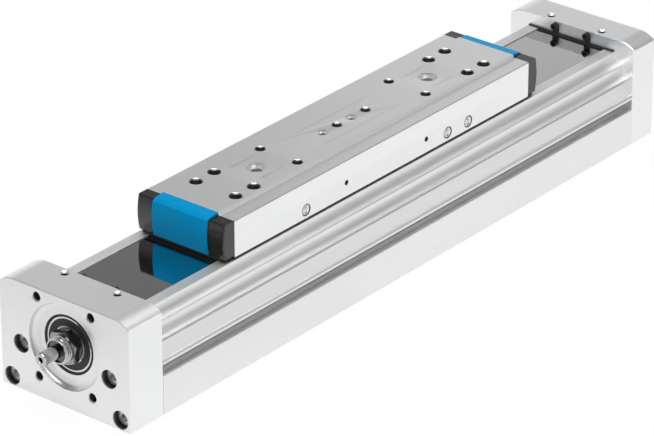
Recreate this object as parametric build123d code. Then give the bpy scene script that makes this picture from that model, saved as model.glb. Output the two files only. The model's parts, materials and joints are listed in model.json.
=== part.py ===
from build123d import *
import math
import os

# Spindle axis: X runs along the axis from the drive end, Z is up, sizes in millimetres.
# The origin is the middle of the underside.

# overall sizes
axis_length = 620.0
drive_cap_depth = 35.0
end_cap_depth = 28.0
shaft_height = 47.5

# fits and clearances
press_clearance = 0.02
running_clearance = 0.06
screw_clearance = 0.1
head_clearance = 0.2
slide_clearance = 0.3
seal_clearance = 0.3
flange_clearance = 0.7
saddle_clearance = 0.8

# proportions of screws, as shares of the thread's size
head_share = 0.8
flat_head_share = 0.9
socket_share = 0.43
socket_depth_share = 0.55

# spindle
spindle_radius = 12.5
thread_radius = 10.0
thread_stand_out = 8.0
stub_radius = 5.0
stub_length = 16.0
stub_edge = 0.6
face_groove_width = 3.4
face_groove_depth = 1.5
centre_hole_radius = 2.3
centre_hole_depth = 5.0
journal_length = 10.0

# ball nut
nut_wall = 7.5
nut_length = 80.0
flange_rim = 4.5
flange_thickness = 10.0
flange_screw_size = 3.0
flange_screw_spread = 35.0
flange_screw_bite = 8.0

# T-slots
slot_height = 34.9
slot_mouth = 8.2
slot_neck = 3.0
slot_inside = 12.6
slot_depth = 9.2
slot_corner = 2.4
slot_edge = 0.55
underside_slot_offset = 30.0

# channel of the profile
channel_half_width = 35.0
floor_wall = 4.8
flange_headroom = 3.0
lip_reach = 7.0
lip_thickness = 9.0
lip_haunch = 1.0

# flanks of the profile
flank_width = 25.0
bottom_edge = 0.8
cove_depth = 1.9
upper_cove_setback = 18.6
upper_cove_width = 6.8
upper_cove_drop = 9.4
lower_cove_width = 5.7
lower_cove_drop = 9.3
cove_step = 0.5
groove_depth = 0.9
groove_width = 1.6
flank_setback = 2.3
flank_foot_rise = 7.9
lip_round_drop = 2.3
lip_round_bulge = 0.6
chamber_wall = 3.0
chamber_round = 2.0
chamber_roof = 13.8

# caps
cap_rise = 10.7
cap_corner_drop = 4.9
cap_corner_run = 14.0
cap_edge = 0.6
recess_radius = 33.0
recess_depth = 5.0
recess_round = 4.5
cap_screw_size = 8.0
cap_screw_sink = 5.0
cap_screw_bite = 18.0
counterbore_radius = 7.1
counterbore_edge = 0.4
middle_screw_inset = 19.0
middle_screw_height = 36.5
bottom_screw_inset = 9.4
bottom_screw_height = 7.8
motor_hole_spacing_y = 50.0
motor_hole_spacing_z = 62.5
motor_hole_radius = 3.4
motor_hole_mouth = 4.2
motor_hole_depth = 20.0
lift_hole_spacing = 49.0
lift_hole_radius = 2.5
lift_hole_mouth = 4.0
lift_hole_depth = 12.0
lift_hole_setback = 6.0

# cover band, its magnets and clamps
band_half_width = 31.7
band_thickness = 0.45
band_gap = 0.05
band_end_gap = 0.3
band_side_gap = 0.5
magnet_thickness = 1.2
magnet_seat_depth = 2.4
magnet_inset = 0.2
ramp_length = 24.0
ramp_radius = 30.0
clamp_depth = 1.5
clamp_height = 1.1
clamp_inset = 0.4
clamp_screw_spacing = 30.6
clamp_screw_size = 3.0
clamp_head_radius = 2.75
clamp_screw_bite = 8.0
clamp_screw_rise = 6.5
clamp_ear_depth = 1.0

# guide rails and runner blocks
rail_width = 9.0
rail_height = 9.5
rail_waist = 7.2
rail_track_heights = (0.42, 0.57, 0.72)
rail_end_gap = 1.0
rail_screw_size = 4.0
rail_screw_count = 8
rail_end_pitch = 30.0
block_length = 40.0
block_width = 18.6
block_height = 14.0
block_lift = 2.2
block_side_gap = 1.2
block_edge = 0.8
block_inset = 35.0
block_seal = 4.5
block_seal_inset = 0.4
block_screw_size = 3.0
block_screw_bite = 5.0
block_screw_spacing_x = 24.0
block_screw_spacing_y = 8.0
head_sink = 0.3

# bearings
bearing_radius = 21.0
bearing_width = 24.0
bearing_sink = 0.6
ring_gap = 1.6
ball_radius = 2.3
ball_play = 0.05
ball_count = 9
seal_rim = 1.5
seal_thickness = 1.1
seal_sink = 0.3
snap_ring_size = 1.8
snap_ring_overlap = 0.2
snap_ring_thickness = 0.45
hexagon_flats = 24.0
hexagon_height = 6.4
hexagon_bevel = 2.0
hexagon_turn = 12.0
nut_reach = 2.4
nut_collar_radius = 13.2
shoulder_hole_radius = 16.0
support_radius = 17.5
support_bore = 7.5
support_width = 11.0
support_ball_count = 7
support_inset = 1.5
support_relief_depth = 6.0
circlip_thickness = 1.0
circlip_reach = 2.6
circlip_groove = 0.7
circlip_gap = 2.4

# saddle
saddle_core_half = 60.0
saddle_half_length = 140.0
saddle_headroom = 1.5
beam_width = 2.8
beam_height = 20.0
foot_thickness = 7.8
foot_width = 19.2
bridge_length = 12.0
neck_half_length = 48.0
wing_gap = 0.8
wing_thickness = 4.4
wing_screw_size = 3.0
wing_screw_pitch = 26.0
wing_screw_bite = 10.0
wing_screw_wall = 1.1
wing_edge = 0.5
lifter_inset = 1.2
lifter_length = 20.0
lifter_nose = 5.0
spindle_passage = 14.0

# carriage plate and its covers
carriage_rest = -3.0
plate_length = 345.0
plate_lift = 2.0
plate_thickness = 28.5
plate_skirt = 1.75
plate_edge = 0.5
raised_half_width = 25.7
raised_height = 2.2
raised_slope = 0.9
tunnel_side_gap = 1.3
tunnel_height = 7.0
cover_length = 10.5
cover_bulge = 1.3
cover_lift = 1.2
cover_taper = 0.4
cover_inset = 0.3
cover_edge = 0.6
cover_screw_size = 4.0
cover_screw_spacing = 24.0
cover_screw_height = 18.0
cover_screw_bite = 9.0
cover_wall = 3.0
clip_half_width = 25.5
clip_stand_out = 1.1
clip_thickness = 2.6
clip_drop = 0.2
wiper_length = 7.0
wiper_inset = 2.35
wiper_gap = 1.5
side_seal_width = 1.6

# holes of the carriage plate, places counted from its middle
large_hole_radius = 4.25
large_hole_mouth = 5.4
large_hole_depth = 18.0
large_hole_x = (125.0, 145.0)
large_hole_y = 18.5
small_hole_radius = 3.4
small_hole_mouth = 4.4
small_hole_depth = 16.0
small_hole_x = 75.0
small_hole_y = 17.5
middle_hole_x = (-8.5, 25.0)
large_sleeve_x = 100.0
large_sleeve_radius = 7.5
large_sleeve_depth = 3.2
small_sleeve_x = (-25.0, 8.5)
small_sleeve_radius = 4.5
small_sleeve_depth = 2.2
sleeve_edge = 0.3
pilot_radius = 2.7
grease_port_x = (-93.0, 73.0, 98.0)
grease_port_height = 6.3
grease_port_radius = 5.2
grease_port_depth = 2.6
grease_thread_radius = 2.6
grease_thread_depth = 7.0
grease_plug_share = 0.74
side_hole_x = 47.0
side_hole_height = 10.5
side_hole_radius = 2.1
side_hole_depth = 6.0

# buffers and travel
buffer_radius = 7.0
buffer_offset = 24.0
buffer_gap = 4.0
travel_back = 78.5
travel_forward = 91.5

# lengths that follow from the sizes
near_face = -axis_length / 2
far_face = axis_length / 2
near_seat = near_face + drive_cap_depth
far_seat = far_face - end_cap_depth
bearing_front = near_face + recess_depth + bearing_sink
bearing_back = bearing_front + bearing_width
support_front = far_seat + support_inset
support_back = support_front + support_width
plate_half = plate_length / 2
block_offset = saddle_half_length - block_inset
nut_seat = carriage_rest - saddle_core_half

# radii and widths that follow
nut_radius = spindle_radius + nut_wall
flange_radius = nut_radius + flange_rim
flange_screw_circle = nut_radius + flange_rim / 2
ball_circle = (thread_radius + bearing_radius) / 2
support_ball_circle = (support_bore + support_radius) / 2
body_half = channel_half_width + flank_width
channel_mouth_half = channel_half_width - lip_reach
rim_half = body_half - upper_cove_setback
cap_flat_half = body_half - cap_corner_run
rail_offset = channel_half_width - block_side_gap - block_width / 2
saddle_half_width = channel_half_width - saddle_clearance
neck_half_width = channel_mouth_half - saddle_clearance
lifter_half_width = neck_half_width - lifter_inset
tunnel_half_width = band_half_width + tunnel_side_gap
wing_head_radius = flat_head_share * wing_screw_size
wing_screw_offset = tunnel_half_width + wing_screw_size / 2 + wing_screw_wall
wing_half_width = wing_screw_offset + wing_head_radius + wing_edge
plate_half_width = wing_half_width + head_clearance + plate_skirt
wiper_half_width = plate_half_width - wiper_inset

# heights that follow
profile_height = shaft_height + flange_radius + flange_headroom
channel_floor = slot_depth + floor_wall
lip_bottom = profile_height - lip_thickness
magnet_seat = profile_height - magnet_seat_depth
band_bottom = magnet_seat + magnet_thickness + band_gap
band_top = band_bottom + band_thickness
cap_height = profile_height + cap_rise
cap_corner_height = cap_height - cap_corner_drop
rail_top = channel_floor + rail_height
block_bottom = channel_floor + block_lift
block_top = block_bottom + block_height
foot_top = block_top + foot_thickness
beam_top = foot_top + beam_height
saddle_top = lip_bottom - saddle_headroom
wing_bottom = profile_height + wing_gap
wing_top = wing_bottom + wing_thickness
lifted_band = wing_top + wing_gap
plate_bottom = profile_height + plate_lift
plate_edge_top = plate_bottom + plate_thickness
plate_top = plate_edge_top + raised_height
tunnel_top = plate_bottom + tunnel_height
cover_bottom = plate_bottom + cover_lift
clamp_screw_height = profile_height + clamp_screw_rise

# places of the screws that hold a cap
cap_screw_hole = cap_screw_size / 2 + screw_clearance
cap_screw_places = [
    (side * (body_half - inset), height)
    for side in (-1, 1)
    for inset, height in (
        (middle_screw_inset, middle_screw_height),
        (bottom_screw_inset, bottom_screw_height),
    )
]


def block(x0, x1, y0, y1, z0, z1):
    """Box between two corners, given in either order."""
    middle = Pos((x0 + x1) / 2, (y0 + y1) / 2, (z0 + z1) / 2)
    return middle * Box(abs(x1 - x0), abs(y1 - y0), abs(z1 - z0))


def rod_x(radius, x0, x1, y=0.0, z=shaft_height):
    """Cylinder along X."""
    return Pos((x0 + x1) / 2, y, z) * Rot(0, 90, 0) * Cylinder(radius, abs(x1 - x0))


def rod_y(radius, y0, y1, x, z):
    """Cylinder along Y."""
    return Pos(x, (y0 + y1) / 2, z) * Rot(90, 0, 0) * Cylinder(radius, abs(y1 - y0))


def rod_z(radius, z0, z1, x, y):
    """Cylinder along Z."""
    return Pos(x, y, (z0 + z1) / 2) * Cylinder(radius, abs(z1 - z0))


def turned(*points):
    """Solid of revolution about the spindle's axis from (x, radius) points."""
    outline = Plane.XZ * make_face(Polyline(*points, close=True))
    return Pos(0, 0, shaft_height) * revolve(outline, Axis.X)


def along(section, x0, x1):
    """Section given as (y, z), run from x0 to x1."""
    return Pos(x0, 0, 0) * extrude(Plane.YZ * section, amount=x1 - x0)


def across(section, half_width):
    """Section given as (x, z), run over both sides of the middle."""
    return extrude(Plane.XZ * section, amount=half_width, both=True)


def polygon(*points):
    """Face with straight edges."""
    return make_face(Polyline(*points, close=True))


def both_sides(right):
    """Outline from its right half, mirrored about the middle."""
    left = [(-y, z) for y, z in reversed(right)]
    return polygon(*right, *left)


def hole_tool(radius, depth, mouth):
    """Hole along +Z that starts at the origin, with a chamfered mouth."""
    bevel = mouth - radius
    outline = polygon(
        (0, -1), (mouth + 1, -1), (mouth, 0), (radius, bevel), (radius, depth), (0, depth)
    )
    return revolve(Plane.XZ * outline, Axis.Z)


into_x = {1: Rot(0, 90, 0), -1: Rot(0, -90, 0)}
into_y = {1: Rot(-90, 0, 0), -1: Rot(90, 0, 0)}
down = Rot(180, 0, 0)


def head_radius(size):
    return head_share * size


def socket_screw(size, length, socket=True, radius=None):
    """Screw along +Z with its head's face at the origin and an inner hexagon in the head."""
    head = Pos(0, 0, size / 2) * Cylinder(radius or head_radius(size), size)
    shank = Pos(0, 0, size + length / 2) * Cylinder(size / 2, length)
    screw = head + shank
    if socket:
        hexagon = RegularPolygon(socket_share * size, 6)
        screw -= extrude(hexagon, amount=socket_depth_share * size)
    return screw


def screw_room(size, sink, length):
    """Room for a sunk screw along +Z: its head, its shank and the clearances round them."""
    head = head_radius(size) + head_clearance
    shank = size / 2 + screw_clearance
    outline = polygon(
        (0, -1), (head, -1), (head, sink + size), (shank, sink + size), (shank, sink + size + length),
        (0, sink + size + length),
    )
    return revolve(Plane.XZ * outline, Axis.Z)


def slot_outline():
    """T-slot with its mouth on the local X axis, running into +Y."""
    mouth = slot_mouth / 2
    inside = slot_inside / 2
    return both_sides(
        [
            (mouth + slot_edge, -1),
            (mouth + slot_edge, 0),
            (mouth, slot_edge),
            (mouth, slot_neck),
            (inside, slot_neck),
            (inside, slot_depth - slot_corner),
            (inside - slot_corner, slot_depth),
        ]
    )


def profile_half_section():
    """Right half of the extruded section, from its middle to its coved flank."""
    cove_top = (rim_half, profile_height)
    cove_end = (rim_half + upper_cove_width, profile_height - upper_cove_drop)
    second_top = (cove_end[0] + cove_step, cove_end[1] - cove_step)
    second_end = (second_top[0] + lower_cove_width, second_top[1] - lower_cove_drop)
    groove_top = second_end[1] - cove_step
    flank_foot = (body_half - flank_setback, slot_height + flank_foot_rise)
    flank_top = (second_end[0] + cove_step, groove_top - groove_width)
    lip_foot = (body_half, flank_foot[1] - lip_round_drop)
    seat_edge = band_half_width + band_side_gap
    outline = Polyline((0, 0), (body_half - bottom_edge, 0), (body_half, bottom_edge), lip_foot)
    outline += SagittaArc(lip_foot, flank_foot, -lip_round_bulge)
    outline += Polyline(
        flank_foot,
        flank_top,
        (flank_top[0] - groove_depth, groove_top - groove_width / 2),
        (second_end[0] + cove_step / 2, groove_top),
        second_end,
    )
    outline += SagittaArc(second_end, second_top, cove_depth)
    outline += Line(second_top, cove_end)
    outline += SagittaArc(cove_end, cove_top, cove_depth)
    outline += Polyline(
        cove_top,
        (seat_edge, profile_height),
        (seat_edge, magnet_seat),
        (channel_mouth_half, magnet_seat),
        (channel_mouth_half, lip_bottom),
        (channel_half_width, lip_bottom - lip_haunch),
        (channel_half_width, channel_floor),
        (0, channel_floor),
        (0, 0),
    )
    return make_face(outline)


def profile_chambers():
    """Closed hollows of the right flank, below and above the T-slot."""
    inner = channel_half_width + chamber_wall
    outer = body_half - chamber_wall
    slot_reach = slot_inside / 2 + chamber_wall
    foot = bottom_screw_height + cap_screw_hole + chamber_wall
    head = slot_height - slot_reach
    lower = polygon((inner, foot), (outer, foot), (outer, head), (inner, head))
    upper_foot = slot_height + slot_reach
    upper_head = profile_height - chamber_roof
    shoulder = rim_half + upper_cove_width - chamber_wall
    upper = polygon(
        (inner, upper_foot),
        (outer - flank_setback, upper_foot),
        (shoulder, upper_head),
        (inner, upper_head),
    )
    return [fillet(chamber.vertices(), chamber_round) for chamber in (lower, upper)]


def profile_section():
    """Whole extruded section with slots, chambers and screw channels."""
    section = profile_half_section()
    for chamber in profile_chambers():
        section -= chamber
    section -= Pos(body_half, slot_height) * Rot(0, 0, 90) * slot_outline()
    section -= Pos(underside_slot_offset, 0) * slot_outline()
    for offset, height in cap_screw_places:
        if offset > 0:
            section -= Pos(offset, height) * Circle(cap_screw_hole)
    return section + mirror(section, Plane.YZ)


def profile():
    return along(profile_section(), near_seat, far_seat)


def cap_outline():
    """Flat foot and sides, and a flat top that rounds down to the corners."""
    radius = (cap_corner_run**2 + cap_corner_drop**2) / (2 * cap_corner_drop)
    half_angle = math.asin(cap_corner_run / radius) / 2
    crown_y = cap_flat_half + radius * math.sin(half_angle)
    crown_z = cap_height - radius * (1 - math.cos(half_angle))
    corner = (body_half, cap_corner_height)
    left_corner = (-body_half, cap_corner_height)
    outline = Line((-cap_flat_half, cap_height), (cap_flat_half, cap_height))
    outline += ThreePointArc((cap_flat_half, cap_height), (crown_y, crown_z), corner)
    outline += Polyline(
        corner,
        (body_half, bottom_edge),
        (body_half - bottom_edge, 0),
        (bottom_edge - body_half, 0),
        (-body_half, bottom_edge),
        left_corner,
    )
    outline += ThreePointArc(left_corner, (-crown_y, crown_z), (-cap_flat_half, cap_height))
    return make_face(outline)


def cap_blank(x0, x1):
    """Cap plate with softened front and rear edges."""
    blank = along(cap_outline(), x0, x1)
    ends = blank.faces().sort_by(Axis.X)
    return chamfer(ends[0].edges() + ends[-1].edges(), cap_edge)


def cap_screw_length(cap_depth):
    return cap_depth - cap_screw_sink - cap_screw_size + cap_screw_bite


def cap_screw_tools(face, into, cap_depth):
    """Counterbored screw holes of a cap, seen from its outer face."""
    sink = cap_screw_sink + cap_screw_size
    counterbore = hole_tool(counterbore_radius, sink, counterbore_radius + counterbore_edge)
    tools = []
    for y, z in cap_screw_places:
        tools.append(Pos(face, y, z) * into_x[into] * counterbore)
        tools.append(rod_x(cap_screw_hole, face, face + into * (cap_depth + 1), y, z))
    return tools


def lift_hole_tools(x):
    """Two tapped holes in the top of a cap."""
    hole = hole_tool(lift_hole_radius, lift_hole_depth, lift_hole_mouth)
    return [Pos(x, side * lift_hole_spacing / 2, cap_height) * down * hole for side in (-1, 1)]


def clamp_screw_places():
    return [side * clamp_screw_spacing / 2 for side in (-1, 1)]


def clamp_hole_tools(face, into):
    """Blind holes for the two screws that hold a band clamp."""
    radius = clamp_screw_size / 2 + screw_clearance
    depth = clamp_screw_bite - clamp_ear_depth + 1
    return [rod_x(radius, face, face + into * depth, y, clamp_screw_height) for y in clamp_screw_places()]


def drive_cap():
    """Cap with the shaft recess, the fixed bearing's seat and the motor's holes."""
    cap = cap_blank(near_face, near_seat)
    recess = rod_x(recess_radius, near_face - 1, near_face + recess_depth)
    cap -= fillet(recess.faces().sort_by(Axis.X)[-1].edges(), recess_round)
    bore = bearing_radius + press_clearance
    ring_seat = bore + snap_ring_size
    cap -= turned(
        (near_face, 0),
        (near_face, ring_seat),
        (bearing_front, ring_seat),
        (bearing_front, bore),
        (bearing_back, bore),
        (bearing_back, shoulder_hole_radius),
        (near_seat + 1, shoulder_hole_radius),
        (near_seat + 1, 0),
    )
    motor_hole = hole_tool(motor_hole_radius, motor_hole_depth, motor_hole_mouth)
    for side_y in (-1, 1):
        for side_z in (-1, 1):
            y = side_y * motor_hole_spacing_y / 2
            z = shaft_height + side_z * motor_hole_spacing_z / 2
            cap -= Pos(near_face, y, z) * into_x[1] * motor_hole
    cap -= cap_screw_tools(near_face, 1, drive_cap_depth)
    cap -= lift_hole_tools(near_seat - lift_hole_setback)
    cap -= clamp_hole_tools(near_seat, -1)
    return cap


def end_cap():
    """Cap with the pocket of the support bearing."""
    cap = cap_blank(far_seat, far_face)
    pocket = support_radius + press_clearance
    relief = support_ball_circle + ring_gap
    cap -= turned(
        (far_seat - 1, 0),
        (far_seat - 1, pocket),
        (support_back, pocket),
        (support_back, relief),
        (support_back + support_relief_depth, relief),
        (support_back + support_relief_depth, 0),
    )
    cap -= cap_screw_tools(far_face, -1, end_cap_depth)
    cap -= lift_hole_tools(far_seat + lift_hole_setback)
    cap -= clamp_hole_tools(far_seat, 1)
    return cap


def cap_screws(face, into, cap_depth):
    """Four socket head screws, sunk below the cap's outer face."""
    screw = into_x[into] * socket_screw(cap_screw_size, cap_screw_length(cap_depth))
    head_x = face + into * cap_screw_sink
    return [Pos(head_x, y, z) * screw for y, z in cap_screw_places]


def cover_band():
    """Thin steel band, lifted over the carriage's neck."""
    crest = neck_half_length + lifter_nose
    foot = crest + ramp_length
    path = [
        (near_seat + band_end_gap, band_bottom),
        (carriage_rest - foot, band_bottom),
        (carriage_rest - crest, lifted_band),
        (carriage_rest + crest, lifted_band),
        (carriage_rest + foot, band_bottom),
        (far_seat - band_end_gap, band_bottom),
    ]
    under = FilletPolyline(*path, radius=ramp_radius)
    over = Pos(0, band_thickness) * under
    ends = [Line(point, (point[0], band_top)) for point in (path[0], path[-1])]
    return across(make_face(under + over + ends), band_half_width)


def magnet_strips():
    """Two strips in the seats beside the slot that hold the band down."""
    inner = channel_mouth_half + magnet_inset
    outer = band_half_width
    x0 = near_seat + band_end_gap
    x1 = far_seat - band_end_gap
    top = magnet_seat + magnet_thickness
    return [block(x0, x1, side * inner, side * outer, magnet_seat, top) for side in (-1, 1)]


def band_clamp(face, into):
    """Black strip that presses the band's end down, with an ear for each screw."""
    foot = profile_height + band_gap
    half = rim_half - clamp_inset
    toe_half = band_half_width - clamp_inset
    front = face + into * clamp_depth
    ear_front = face + into * clamp_ear_depth
    strip = block(face, front, -half, half, foot, foot + clamp_height)
    strip += block(face, front, -toe_half, toe_half, band_top, foot)
    for y in clamp_screw_places():
        ear = block(face, ear_front, y - clamp_head_radius, y + clamp_head_radius, foot, clamp_screw_height)
        strip += ear + rod_x(clamp_head_radius, face, ear_front, y, clamp_screw_height)
        strip -= rod_x(clamp_screw_size / 2 + screw_clearance, face, ear_front, y, clamp_screw_height)
    return strip


def band_clamp_screws():
    """Two black screws at each end of the band."""
    screw = socket_screw(clamp_screw_size, clamp_screw_bite, radius=clamp_head_radius)
    stand = clamp_ear_depth + clamp_screw_size
    return [
        Pos(face - into * stand, y, clamp_screw_height) * into_x[into] * screw
        for face, into in ((near_seat, -1), (far_seat, 1))
        for y in clamp_screw_places()
    ]


def rail_screw_places():
    first = near_seat + rail_end_pitch
    last = far_seat - rail_end_pitch
    pitch = (last - first) / (rail_screw_count - 1)
    return [first + index * pitch for index in range(rail_screw_count)]


def rail_screw_length():
    return rail_height - rail_screw_size - head_sink


def rail_section(grow=0.0):
    """Rail with its waisted ball tracks; grow gives the room round it."""
    half = rail_width / 2 + grow
    waist = rail_waist / 2 + grow
    track_foot, track_middle, track_head = (share * rail_height for share in rail_track_heights)
    return Pos(0, channel_floor) * both_sides(
        [
            (half, -grow),
            (half, track_foot),
            (waist, track_middle),
            (half, track_head),
            (half, rail_height + grow),
        ]
    )


def guide_rail(side):
    """Rail on the channel's floor, screwed down through counterbored holes."""
    y = side * rail_offset
    rail = Pos(0, y, 0) * along(rail_section(), near_seat + rail_end_gap, far_seat - rail_end_gap)
    room = screw_room(rail_screw_size, head_sink, rail_screw_length() + 1)
    for x in rail_screw_places():
        rail -= Pos(x, y, rail_top) * down * room
    return rail


def rail_screws():
    """Screws whose threads end at the floor of the channel."""
    screw = down * socket_screw(rail_screw_size, rail_screw_length(), socket=False)
    return [
        Pos(x, side * rail_offset, rail_top - head_sink) * screw
        for side in (-1, 1)
        for x in rail_screw_places()
    ]


def block_middle(end):
    return carriage_rest + end * block_offset


def block_screw_places(side, end):
    return [
        (
            block_middle(end) + dx * block_screw_spacing_x / 2,
            side * rail_offset + dy * block_screw_spacing_y / 2,
        )
        for dx in (-1, 1)
        for dy in (-1, 1)
    ]


def runner_block(side, end):
    """Steel body that rides over a rail."""
    middle = block_middle(end)
    y = side * rail_offset
    half = block_length / 2
    half_width = block_width / 2
    body = block(middle - half, middle + half, y - half_width, y + half_width, block_bottom, block_top)
    body = chamfer(body.edges().filter_by(Axis.X).group_by(Axis.Z)[-1], block_edge)
    body -= Pos(0, y, 0) * along(rail_section(slide_clearance), middle - half - 1, middle + half + 1)
    thread = block_screw_size / 2 + screw_clearance
    for x, hole_y in block_screw_places(side, end):
        body -= rod_z(thread, block_top - block_screw_bite - head_clearance, block_top + 1, x, hole_y)
    return body


def runner_seals():
    """Plastic ends of the runner blocks."""
    half = block_width / 2 - block_seal_inset
    foot = block_bottom + block_seal_inset
    head = block_top - 2 * block_seal_inset
    seals = []
    for side in (-1, 1):
        y = side * rail_offset
        for end in (-1, 1):
            for tip in (-1, 1):
                face = block_middle(end) + tip * block_length / 2
                seal = block(face, face + tip * block_seal, y - half, y + half, foot, head)
                room = along(rail_section(slide_clearance), face - block_seal - 1, face + block_seal + 1)
                seals.append(seal - Pos(0, y, 0) * room)
    return seals


def block_screw_length():
    return foot_thickness - block_screw_size - head_sink + block_screw_bite


def block_screws():
    """Screws from the saddle's feet into the runner blocks."""
    screw = down * socket_screw(block_screw_size, block_screw_length(), socket=False)
    return [
        Pos(x, y, foot_top - head_sink) * screw
        for side in (-1, 1)
        for end in (-1, 1)
        for x, y in block_screw_places(side, end)
    ]


def spindle():
    """Screw with its stub, threaded journal, shoulder and far journal."""
    thread_face = near_face - thread_stand_out
    tip = thread_face - stub_length
    far_tip = support_back + circlip_thickness + 2 * stub_edge
    groove_foot = support_bore - circlip_groove
    shaft = turned(
        (tip, 0),
        (tip, stub_radius - stub_edge),
        (tip + stub_edge, stub_radius),
        (thread_face + face_groove_depth, stub_radius),
        (thread_face + face_groove_depth, stub_radius + face_groove_width),
        (thread_face, stub_radius + face_groove_width),
        (thread_face, thread_radius - stub_edge),
        (thread_face + stub_edge, thread_radius),
        (bearing_back, thread_radius),
        (bearing_back, spindle_radius),
        (support_front - journal_length, spindle_radius),
        (support_front - journal_length, thread_radius),
        (support_front, thread_radius),
        (support_front, support_bore),
        (support_back, support_bore),
        (support_back, groove_foot),
        (support_back + circlip_thickness, groove_foot),
        (support_back + circlip_thickness, support_bore),
        (far_tip - stub_edge, support_bore),
        (far_tip, support_bore - stub_edge),
        (far_tip, 0),
    )
    centre = turned(
        (tip - 1, 0),
        (tip - 1, centre_hole_radius),
        (tip, centre_hole_radius),
        (tip + centre_hole_depth, centre_hole_radius / 3),
        (tip + centre_hole_depth, 0),
    )
    return shaft - centre


def lock_nut():
    """Hexagon with a round collar that clamps the bearing's inner rings."""
    front = near_face - nut_reach
    collar_front = front + hexagon_height
    corner = hexagon_flats / math.sqrt(3)
    hexagon = extrude(RegularPolygon(corner, 6), amount=hexagon_height)
    hexagon = Pos(front, 0, shaft_height) * into_x[1] * Rot(0, 0, hexagon_turn) * hexagon
    crown = turned(
        (front, 0),
        (front, hexagon_flats / 2),
        (front + hexagon_bevel, corner + 1),
        (collar_front + 1, corner + 1),
        (collar_front + 1, 0),
    )
    nut = hexagon & crown
    nut += rod_x(nut_collar_radius, collar_front, bearing_front)
    return nut - rod_x(thread_radius + press_clearance, front - 1, bearing_front + 1)


def fixed_rows():
    """Places of the ball rows in the pair of fixed bearings."""
    return [bearing_front + bearing_width / 4, bearing_front + 3 * bearing_width / 4]


def support_rows():
    return [(support_front + support_back) / 2]


def bearing_ring(x0, x1, inner, outer, rows, circle):
    """Ring with a ball track for each row."""
    ring = turned((x0, inner), (x0, outer), (x1, outer), (x1, inner))
    for x in rows:
        track = Plane.XZ * (Pos(x, circle) * Circle(ball_radius + ball_play))
        ring -= Pos(0, 0, shaft_height) * revolve(track, Axis.X)
    return ring


def bearing_outer_ring():
    """Outer rings of the fixed pair, with a pocket for the front seal."""
    inner = ball_circle + ring_gap
    ring = bearing_ring(bearing_front, bearing_back, inner, bearing_radius, fixed_rows(), ball_circle)
    pocket_back = bearing_front + seal_sink + seal_thickness
    return ring - rod_x(bearing_radius - seal_rim, bearing_front - 1, pocket_back)


def bearing_inner_ring():
    inner = thread_radius + press_clearance
    outer = ball_circle - ring_gap
    return bearing_ring(bearing_front, bearing_back, inner, outer, fixed_rows(), ball_circle)


def bearing_seal():
    """Dark disc between the rings of the front bearing."""
    outer = bearing_radius - seal_rim - press_clearance
    inner = ball_circle - ring_gap + running_clearance
    x0 = bearing_front + seal_sink
    x1 = x0 + seal_thickness
    return turned((x0, inner), (x0, outer), (x1, outer), (x1, inner))


def snap_ring():
    """Dark ring in the mouth of the bearing's bore."""
    inner = bearing_radius - snap_ring_overlap
    outer = bearing_radius + snap_ring_size
    x0 = bearing_front - snap_ring_thickness
    return turned((x0, inner), (x0, outer), (bearing_front, outer), (bearing_front, inner))


def balls(rows, circle, count):
    """Rows of balls round the spindle."""
    placed = []
    for x in rows:
        for index in range(count):
            angle = 2 * math.pi * index / count
            y = circle * math.cos(angle)
            z = shaft_height + circle * math.sin(angle)
            placed.append(Pos(x, y, z) * Sphere(ball_radius))
    return placed


def support_outer_ring():
    inner = support_ball_circle + ring_gap
    rows = support_rows()
    return bearing_ring(support_front, support_back, inner, support_radius, rows, support_ball_circle)


def support_inner_ring():
    inner = support_bore + press_clearance
    outer = support_ball_circle - ring_gap
    rows = support_rows()
    return bearing_ring(support_front, support_back, inner, outer, rows, support_ball_circle)


def support_circlip():
    """Ring in the groove of the spindle's far journal."""
    x0 = support_back
    x1 = support_back + circlip_thickness
    inner = support_bore - circlip_groove + press_clearance
    outer = support_bore + circlip_reach
    ring = turned((x0, inner), (x0, outer), (x1, outer), (x1, inner))
    half_gap = circlip_gap / 2
    return ring - block(x0 - 1, x1 + 1, -half_gap, half_gap, shaft_height, shaft_height + outer + 1)


def plate_section():
    """Plate with bevelled edges, a raised middle and the band's tunnel."""
    return both_sides(
        [
            (tunnel_half_width, tunnel_top),
            (tunnel_half_width, plate_bottom),
            (plate_half_width, plate_bottom),
            (plate_half_width, plate_edge_top - plate_edge),
            (plate_half_width - plate_edge, plate_edge_top),
            (raised_half_width + raised_slope, plate_edge_top),
            (raised_half_width, plate_top),
        ]
    )


def carriage_plate():
    """Long plate that carries the load, drilled for screws and centring sleeves."""
    plate = along(plate_section(), carriage_rest - plate_half, carriage_rest + plate_half)
    reach = neck_half_length + head_clearance
    width = wing_half_width + head_clearance
    plate -= block(
        carriage_rest - reach, carriage_rest + reach, -width, width, plate_bottom - 1, wing_top
    )
    plate -= plate_top_holes() + plate_side_holes() + wing_thread_holes() + cover_thread_holes()
    return plate


def top_hole(x, y, radius, depth, mouth):
    return Pos(carriage_rest + x, y, plate_top) * down * hole_tool(radius, depth, mouth)


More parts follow.
